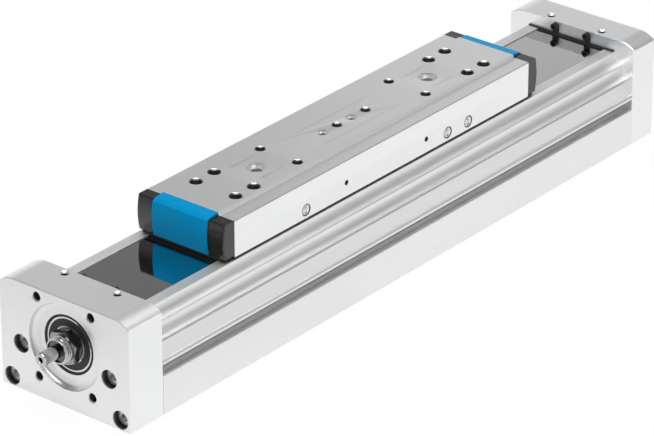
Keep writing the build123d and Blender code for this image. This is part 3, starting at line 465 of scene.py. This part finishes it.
def make_finishes(colours):
    """Makes the unit's materials, each named for its slot in the record."""
    grain_group()
    painted_shade_group()
    steel = colours.steel
    grained(
        "anodised_profile", colours.profile, profile_painted_shade(), dark=0.95, stretch=DRAWN,
        scale=900, smooth=0.42, spread=0.08, relief=0.08, depth=0.02, Metallic=0.9,
    )
    grained(
        "cap_aluminium", colours.cap, cap_painted_shade(), dark=0.95, stretch=EVEN,
        scale=1500, smooth=0.34, spread=0.08, relief=0.15, depth=0.03, Metallic=0.85,
    )
    grained(
        "plate_aluminium", colours.plate, plate_painted_shade(), dark=0.97, stretch=MILLED,
        scale=1200, smooth=0.29, spread=0.05, relief=0.05, depth=0.02, Metallic=0.9,
    )
    grained(
        "band_steel", colours.band, dark=0.96, stretch=DRAWN,
        scale=700, smooth=0.03, spread=0.03, relief=0.03, depth=0.005, Metallic=1.0,
    )
    grained(
        "rail_steel", steel, dark=0.9, stretch=DRAWN,
        scale=900, smooth=0.25, spread=0.1, relief=0.1, depth=0.02, Metallic=1.0,
    )
    # The screw steel is a quarter lighter than the bright steel: painted light against the shade
    # in the screws' bores.
    grained(
        "screw_steel", shade(steel, 1.25), dark=0.85, stretch=EVEN,
        scale=900, smooth=0.28, spread=0.15, relief=0.15, depth=0.02, Metallic=1.0,
    )
    grained(
        "spindle_steel", shade(steel, 0.9), spindle_painted_shade(), dark=0.97, stretch=GROUND_ROUND,
        scale=1400, smooth=0.10, spread=0.03, relief=0.01, depth=0.005, Metallic=1.0,
    )
    # The nut's steel is a darker copy of the bright steel: painted shade for the dark reflections
    # in the nut.
    grained(
        "nut_steel", shade(steel, 0.55), nut_painted_shade(), dark=0.9, stretch=TURNED_ROUND,
        scale=1200, smooth=0.16, spread=0.06, relief=0.02, depth=0.01, Metallic=1.0,
    )
    grained(
        "bearing_steel", shade(steel, 1.15), dark=0.95, stretch=EVEN,
        scale=600, smooth=0.12, spread=0.06, relief=0.04, depth=0.01, Metallic=1.0,
    )
    grained(
        "black_screw", colours.dark_steel, dark=0.7, stretch=EVEN,
        scale=1200, smooth=0.35, spread=0.15, relief=0.2, depth=0.03, Metallic=0.6,
    )
    grained(
        "cover_plastic", colours.cover, dark=0.8, stretch=EVEN, scale=2400, smooth=0.14,
        spread=0.08, relief=0.06, depth=0.02, Specular_IOR_Level=0.75,
    )
    grained(
        "black_plastic", colours.rubber, dark=0.8, stretch=EVEN,
        scale=2000, smooth=0.45, spread=0.12, relief=0.3, depth=0.05,
    )
    grained(
        "blue_plastic", colours.clip, dark=0.93, stretch=EVEN, scale=1800, smooth=0.36,
        spread=0.08, relief=0.06, depth=0.02, Specular_IOR_Level=0.05,
    )
    # Cut threads near black: painted shade deep in the tapped holes, not the aluminium's own
    # colour.
    grained(
        "cut_thread", colours.thread, dark=0.8, stretch=EVEN,
        scale=1200, smooth=0.45, spread=0.1, relief=0.1, depth=0.02, Metallic=0.7,
    )
    grained(
        "black_rubber", colours.rubber, dark=0.75, stretch=EVEN,
        scale=1600, smooth=0.62, spread=0.15, relief=0.35, depth=0.05,
    )


def slot_of(node):
    return next(s["material_slot"] for s in frame["record"]["subparts"] if s["node"] == node)


def dress(obj, finish):
    obj.data.materials.clear()
    obj.data.materials.append(bpy.data.materials[f"{finish}_finish"])


def add_piece(name, mesh_data, body, slot, finish=None):
    """New object from a bmesh, with its finish, which is the slot's own unless another is named,
    and the body it rides on.
    """
    mesh = bpy.data.meshes.new(name)
    mesh_data.to_mesh(mesh)
    mesh_data.free()
    piece = bpy.data.objects.new(name, mesh)
    bpy.context.scene.collection.objects.link(piece)
    dress(piece, finish or slot)
    if body:
        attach(piece, body)
    return piece


def close_and_shade(mesh_data, sharp_angle=35.0):
    """Merges doubles, turns the faces outwards and smooths all but the sharp edges."""
    bmesh.ops.remove_doubles(mesh_data, verts=mesh_data.verts, dist=1e-6)
    bmesh.ops.recalc_face_normals(mesh_data, faces=mesh_data.faces)
    for face in mesh_data.faces:
        face.smooth = True
    for edge in mesh_data.edges:
        if len(edge.link_faces) == 2 and edge.calc_face_angle(0) > math.radians(sharp_angle):
            edge.smooth = False


def spin_about_x(mesh_data, points, steps):
    """Surface of revolution about the X axis, from (x, radius) pairs."""
    verts = [mesh_data.verts.new((x, 0.0, radius)) for x, radius in points]
    edges = [mesh_data.edges.new(pair) for pair in zip(verts, verts[1:])]
    bmesh.ops.spin(
        mesh_data, geom=verts + edges, cent=(0, 0, 0), axis=(1, 0, 0), angle=math.tau,
        steps=steps, use_merge=True,
    )


class FinishSolids(bpy.types.Operator):
    """Gives every solid of the frame its finish"""

    bl_idname = "axis_unit.finish_solids"
    bl_label = "Finish the solids"

    def execute(self, context):
        make_finishes(context.scene.axis_finish)
        for name, node in nodes.items():
            dress(node, slot_of(name))
        return {"FINISHED"}


def journal_outline(pitch, low, high, crest):
    """Thread ribs between two places, as (x, radius) pairs."""
    root = crest - 0.55 * pitch
    rib = ((0.10, root), (0.42, crest), (0.58, crest), (0.90, root))
    points = []
    x = low
    while x + pitch <= high:
        points += [(x + share * pitch, radius) for share, radius in rib]
        x += pitch
    return points


class BuildSpindle(bpy.types.Operator):
    """Spindle with its stub, ribbed locking thread and journals"""

    bl_idname = "axis_unit.build_spindle"
    bl_label = "Spindle"

    def execute(self, context):
        low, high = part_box("spindle")
        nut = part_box("lock_nut")[0].x
        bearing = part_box("bearing_inner_ring")[1].x
        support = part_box("support_inner_ring")[0].x
        axis_z = (low.z + high.z) / 2
        body = (high.z - low.z) / 2
        stub, thread, journal = 5.0 * MM, 10.0 * MM, 7.5 * MM
        edge = 0.6 * MM
        flat_edge = 0.15 * MM
        hole, hole_depth, countersink = 1.7 * MM, 5.0 * MM, 0.6 * MM
        root = low.x + STUB_LENGTH * MM
        groove_height, groove_depth = 3.4 * MM, 1.5 * MM
        relief = 10.0 * MM
        points = [
            (low.x + hole_depth, 0.0),
            (low.x + hole_depth - 1.2 * MM, 0.8 * MM),
            (low.x + 1.0 * MM, hole),
            (low.x, hole + countersink),
            (low.x, stub - edge),
            (low.x + 0.25 * edge, stub - 0.4 * edge),
            (low.x + edge, stub),
            (low.x + edge + flat_edge, stub),
            (root + groove_depth - flat_edge, stub),
            (root + groove_depth, stub),
            (root + groove_depth, stub + groove_height),
            (root, stub + groove_height),
            (root, thread - 1.6 * edge),
        ]
        pitch = context.scene.axis_sizes.journal_pitch
        points += journal_outline(pitch, root + 0.3 * MM, nut + 3.0 * MM, thread)
        points += [
            (nut + 3.2 * MM, thread),
            (bearing, thread),
            (bearing, body),
            (support - relief, body),
            (support - relief, thread),
            (support, thread),
            (support, journal),
            (high.x - edge, journal),
            (high.x, journal - edge),
            (high.x, 0.0),
        ]
        mesh_data = bmesh.new()
        spin_about_x(mesh_data, points, 96)
        bmesh.ops.translate(mesh_data, verts=mesh_data.verts, vec=(0, 0, axis_z))
        close_and_shade(mesh_data)
        piece = add_piece("spindle_shaft", mesh_data, "spindle", "spindle_steel")
        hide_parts("spindle")
        return {"FINISHED"}


def thread_ring(mesh_data, place, core, pitch, length, steps):
    """Ribbed wall of a tapped hole: a saw-tooth ribbon wound down the hole from its place."""
    crest_radius = core - CREST_INSET
    turns = int(length / pitch)
    before = set(mesh_data.verts)
    crest = mesh_data.verts.new((crest_radius, 0, 0))
    root = mesh_data.verts.new((crest_radius + THREAD_DEPTH, 0, -pitch / 2))
    foot = mesh_data.verts.new((crest_radius, 0, -pitch))
    edges = [mesh_data.edges.new((crest, root)), mesh_data.edges.new((root, foot))]
    bmesh.ops.spin(
        mesh_data, geom=[crest, root, foot] + edges, cent=(0, 0, 0), axis=(0, 0, 1),
        dvec=(0, 0, -pitch / steps), angle=math.tau * turns, steps=steps * turns, use_merge=False,
    )
    added = [vert for vert in mesh_data.verts if vert not in before]
    for face in {face for vert in added for face in vert.link_faces}:
        face.normal_update()
        if face.normal.xy.dot(face.calc_center_median().xy) > 0:
            face.normal_flip()
    bmesh.ops.transform(mesh_data, matrix=place, verts=added)


def plate_thread_places():
    """Tapped holes of the carriage: the place of the first turn, and the thread."""
    low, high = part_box("carriage_plate")
    middle = (low.x + high.x) / 2
    large_top, small_top = high.z - 1.1 * MM, high.z - 1.0 * MM
    upright = []
    for end in (-1, 1):
        for side in (-1, 1):
            for x in LARGE_HOLES_ALONG:
                aside = side * LARGE_HOLES_ASIDE * MM
                upright.append(((middle + end * x * MM, aside, large_top), M10))
            aside = side * SMALL_HOLES_ASIDE * MM
            upright.append(((middle + end * SMALL_HOLES_ALONG * MM, aside, small_top), M8))
    for x in MIDDLE_HOLES_ALONG:
        upright.append(((middle + x * MM, 0, small_top), M8))
    places = [(Matrix.Translation(point), thread) for point, thread in upright]
    for end in (-1, 1):
        for side in (-1, 1):
            aside = side * (high.y - 0.3 * MM)
            point = (middle + end * SIDE_HOLES_ALONG * MM, aside, low.z + SIDE_HOLES_UP * MM)
            turn = Matrix.Rotation(side * math.radians(-90), 4, "X")
            places.append((Matrix.Translation(point) @ turn, M5))
    return places


def cap_thread_places():
    """Tapped holes in the drive cap's face and in both caps' tops."""
    low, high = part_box("drive_cap")
    face, top = low.x + 0.8 * MM, high.z - 1.5 * MM
    turn = Matrix.Rotation(math.radians(-90), 4, "Y")
    places = []
    for side in (-1, 1):
        for up in MOTOR_HOLES_UP:
            point = (face, side * MOTOR_HOLES_ASIDE * MM, up * MM)
            places.append((Matrix.Translation(point) @ turn, M8))
        for x in CAP_TOP_HOLES_ALONG:
            point = (x * MM, side * CAP_TOP_HOLES_ASIDE * MM, top)
            places.append((Matrix.Translation(point), M6))
    return places


class BuildThreads(bpy.types.Operator):
    """Threads in the tapped holes of the carriage and of the caps"""

    bl_idname = "axis_unit.build_threads"
    bl_label = "Threads"

    def execute(self, context):
        steps = context.scene.axis_sizes.thread_turn_steps
        for name, places, body, slot in (
            ("plate_threads", plate_thread_places(), "carriage", "plate_aluminium"),
            ("cap_threads", cap_thread_places(), "base", "cap_aluminium"),
        ):
            mesh_data = bmesh.new()
            for place, thread in places:
                thread_ring(mesh_data, place, *thread, steps)
            add_piece(name, mesh_data, body, slot, finish="cut_thread")
        return {"FINISHED"}


def nipple_outline(radius):
    """Funnel nipple about the X axis, as (depth, radius) pairs."""
    outline = (
        (1.6, 1.0), (0.7, 1.0), (0.45, 0.94), (0.45, 0.80), (1.10, 0.62), (1.20, 0.50),
        (0.75, 0.42), (0.55, 0.30), (0.55, 0.12), (1.20, 0.08), (1.30, 0.0),
    )
    return [(depth * MM, share * radius) for depth, share in outline]


class BuildNipples(bpy.types.Operator):
    """Grease nipples in the carriage's long sides"""

    bl_idname = "axis_unit.build_nipples"
    bl_label = "Grease nipples"

    def execute(self, context):
        low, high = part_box("carriage_plate")
        middle = (low.x + high.x) / 2
        mesh_data = bmesh.new()
        for side in (-1, 1):
            turn = Matrix.Rotation(side * math.radians(-90), 4, "Z")
            for x in NIPPLES_ALONG:
                before = set(mesh_data.verts)
                spin_about_x(mesh_data, nipple_outline(NIPPLE_RADIUS * MM), 40)
                added = [vert for vert in mesh_data.verts if vert not in before]
                point = (middle + x * MM, side * high.y, low.z + NIPPLES_UP * MM)
                place = Matrix.Translation(point) @ turn
                bmesh.ops.transform(mesh_data, matrix=place, verts=added)
        close_and_shade(mesh_data)
        piece = add_piece("grease_nipples", mesh_data, "carriage", "screw_steel")
        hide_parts("grease_plugs")
        return {"FINISHED"}


class BuildBand(bpy.types.Operator):
    """Cover band in two halves that meet inside the carriage"""

    bl_idname = "axis_unit.build_band"
    bl_label = "Cover band"

    def execute(self, context):
        low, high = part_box("cover_band")
        solid = bpy.data.objects["cover_band"].data
        bends = [vert.co.x for vert in solid.vertices if low.x + MM < vert.co.x < high.x - MM]
        near_rise, far_rise = min(bends), max(bends)
        middle = (near_rise + far_rise) / 2
        for name, side, clamped, rise in (
            ("cover_band_near", 1, low.x, near_rise),
            ("cover_band_far", -1, high.x, far_rise),
        ):
            mesh_data = bmesh.new()
            mesh_data.from_mesh(solid)
            bmesh.ops.remove_doubles(mesh_data, verts=mesh_data.verts, dist=1e-6)
            parts = [*mesh_data.verts, *mesh_data.edges, *mesh_data.faces]
            cut = bmesh.ops.bisect_plane(
                mesh_data, geom=parts, plane_co=(middle, 0, 0), plane_no=(side, 0, 0),
                clear_outer=True,
            )
            rim = [part for part in cut["geom_cut"] if isinstance(part, bmesh.types.BMEdge)]
            bmesh.ops.holes_fill(mesh_data, edges=rim)
            close_and_shade(mesh_data, sharp_angle=1.0)
            piece = add_piece(name, mesh_data, None, slot_of("cover_band"))
            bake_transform(piece)
            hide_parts("cover_band")
        return {"FINISHED"}


def ground_material():
    """White ground, to the eye and in reflections, that still takes the unit's shadow; its glow
    in reflections is dimmed before the drive end as painted shade.
    """
    colour = {"Base_Color": (0.92, 0.92, 0.92, 1), "Roughness": 0.9}
    material, tree, shader = new_finish("studio_white", colour)
    path = add_node(tree, "LightPath").outputs
    place = add_node(tree, "TexCoord").outputs["Object"]
    along = add_node(tree, "SeparateXYZ", {0: place}).outputs["X"]
    # Painted shade: the mirrored glow weakens before the drive end, darkening the reflections in
    # the drive end's face.
    painted_shade_end, painted_shade_start = PAINTED_SHADE_ALONG
    painted_shade_strength = add_node(
        tree,
        "MapRange",
        {"Value": along, "From Min": painted_shade_end, "From Max": painted_shade_start, "To Min": MIRRORED_PAINTED_SHADE},
    ).outputs["Result"]
    mirrored = maths(tree, "MAXIMUM", path["Is Glossy Ray"], path["Is Transmission Ray"])
    seen = maths(tree, "MULTIPLY", path["Is Camera Ray"], GLOW_SHARE)
    share = maths(tree, "MULTIPLY_ADD", mirrored, MIRRORED_SHARE, seen)
    strength = maths(tree, "MAXIMUM", path["Is Camera Ray"], painted_shade_strength)
    glow = add_node(tree, "Emission", {"Strength": strength})
    mix = add_node(
        tree, "MixShader", {"Fac": share, 1: shader.outputs[0], 2: glow.outputs[0]}
    )
    tree.links.new(mix.outputs[0], tree.nodes["Material Output"].inputs["Surface"])
    return material


def add_ground():
    """Ground far beyond the picture, a little below the unit."""
    mesh_data = bmesh.new()
    bmesh.ops.create_grid(mesh_data, x_segments=1, y_segments=1, size=GROUND_REACH)
    mesh = bpy.data.meshes.new("studio_floor")
    mesh_data.to_mesh(mesh)
    mesh_data.free()
    floor = bpy.data.objects.new("studio_floor", mesh)
    floor.location.z = -GROUND_DROP
    bpy.context.scene.collection.objects.link(floor)
    floor.data.materials.append(ground_material())


def build_world(studio):
    """Surroundings, pale near the horizon and darker overhead, aside and before the drive."""
    world = bpy.data.worlds.new("studio_world")
    world.use_nodes = True
    bpy.context.scene.world = world
    tree = world.node_tree
    way = add_node(tree, "TexCoord").outputs["Generated"]
    parts = add_node(tree, "SeparateXYZ", {0: way}).outputs
    strength = add_node(
        tree,
        "MapRange",
        {
            "Value": parts["Z"],
            "From Min": studio.sky_break[0],
            "From Max": studio.sky_break[1],
            "To Min": studio.sky_low,
            "To Max": studio.sky_high,
        },
        interpolation_type="SMOOTHSTEP",
    ).outputs["Result"]
    for axis, (start, end), least in (
        ("Y", SKY_ASIDE_TURN, studio.sky_aside),
        ("X", SKY_BEFORE_TURN, studio.sky_before),
    ):
        turn = {"Value": parts[axis], "From Min": start, "From Max": end, "To Min": least}
        factor = add_node(tree, "MapRange", turn).outputs["Result"]
        strength = maths(tree, "MULTIPLY", strength, factor)
    sky = tree.nodes["Background"]
    sky.inputs["Color"].default_value = (1, 1, 1, 1)
    tree.links.new(strength, sky.inputs["Strength"])


def soft_light(name, place, target, width, length, power):
    """Area light that faces a point."""
    data = bpy.data.lights.new(name, "AREA")
    data.shape = "RECTANGLE"
    data.size = width
    data.size_y = length
    data.energy = power
    lamp = bpy.data.objects.new(name, data)
    lamp.location = place
    lamp.rotation_euler = (Vector(target) - Vector(place)).to_track_quat("-Z", "Y").to_euler()
    bpy.context.scene.collection.objects.link(lamp)


def photo_camera(lens):
    """Camera at the photograph's view."""
    data = bpy.data.cameras.new("photo_camera")
    data.lens = lens
    data.sensor_width = CAMERA_SENSOR
    data.clip_end = 100.0
    camera = bpy.data.objects.new("photo_camera", data)
    camera.location = CAMERA_PLACE
    heading, drop = math.radians(CAMERA_HEADING), math.radians(CAMERA_DROP)
    forward = Vector(
        (math.cos(drop) * math.cos(heading), math.cos(drop) * math.sin(heading), -math.sin(drop))
    )
    camera.rotation_euler = forward.to_track_quat("-Z", "Y").to_euler()
    bpy.context.scene.collection.objects.link(camera)
    return camera


class BuildStudio(bpy.types.Operator):
    """White ground, soft light and the camera at the photograph's view"""

    bl_idname = "axis_unit.build_studio"
    bl_label = "Studio"

    def execute(self, context):
        studio = context.scene.axis_studio
        add_ground()
        build_world(studio)
        for name, (place, target, width, length) in LAMPS.items():
            soft_light(name, place, target, width, length, getattr(studio, name))
        context.scene.camera = photo_camera(studio.lens)
        context.scene.view_settings.view_transform = "Standard"
        return {"FINISHED"}


OPERATORS = (FinishSolids, BuildSpindle, BuildThreads, BuildNipples, BuildBand, BuildStudio)


class AxisPanel(bpy.types.Panel):
    """Sidebar panel that lists the unit's pieces and settings"""

    bl_idname = "VIEW3D_PT_axis_unit"
    bl_label = "Spindle axis unit"
    bl_space_type = "VIEW_3D"
    bl_region_type = "UI"
    bl_category = "Axis unit"

    def draw(self, context):
        scene = context.scene
        for group in (scene.axis_finish, scene.axis_sizes, scene.axis_studio):
            box = self.layout.box()
            for name in group.__annotations__:
                box.prop(group, name)
        for operator in OPERATORS:
            self.layout.operator(operator.bl_idname)


CLASSES = (AxisFinish, AxisSizes, AxisStudio) + OPERATORS + (AxisPanel,)


def register():
    for cls in CLASSES:
        bpy.utils.register_class(cls)
    bpy.types.Scene.axis_finish = PointerProperty(type=AxisFinish)
    bpy.types.Scene.axis_sizes = PointerProperty(type=AxisSizes)
    bpy.types.Scene.axis_studio = PointerProperty(type=AxisStudio)


def unregister():
    del bpy.types.Scene.axis_finish
    del bpy.types.Scene.axis_sizes
    del bpy.types.Scene.axis_studio
    for cls in reversed(CLASSES):
        bpy.utils.unregister_class(cls)


def main():
    register()
    bpy.ops.axis_unit.finish_solids()
    bpy.ops.axis_unit.build_spindle()
    bpy.ops.axis_unit.build_threads()
    bpy.ops.axis_unit.build_nipples()
    bpy.ops.axis_unit.build_band()
    bpy.ops.axis_unit.build_studio()


if __name__ == "__main__":
    main()
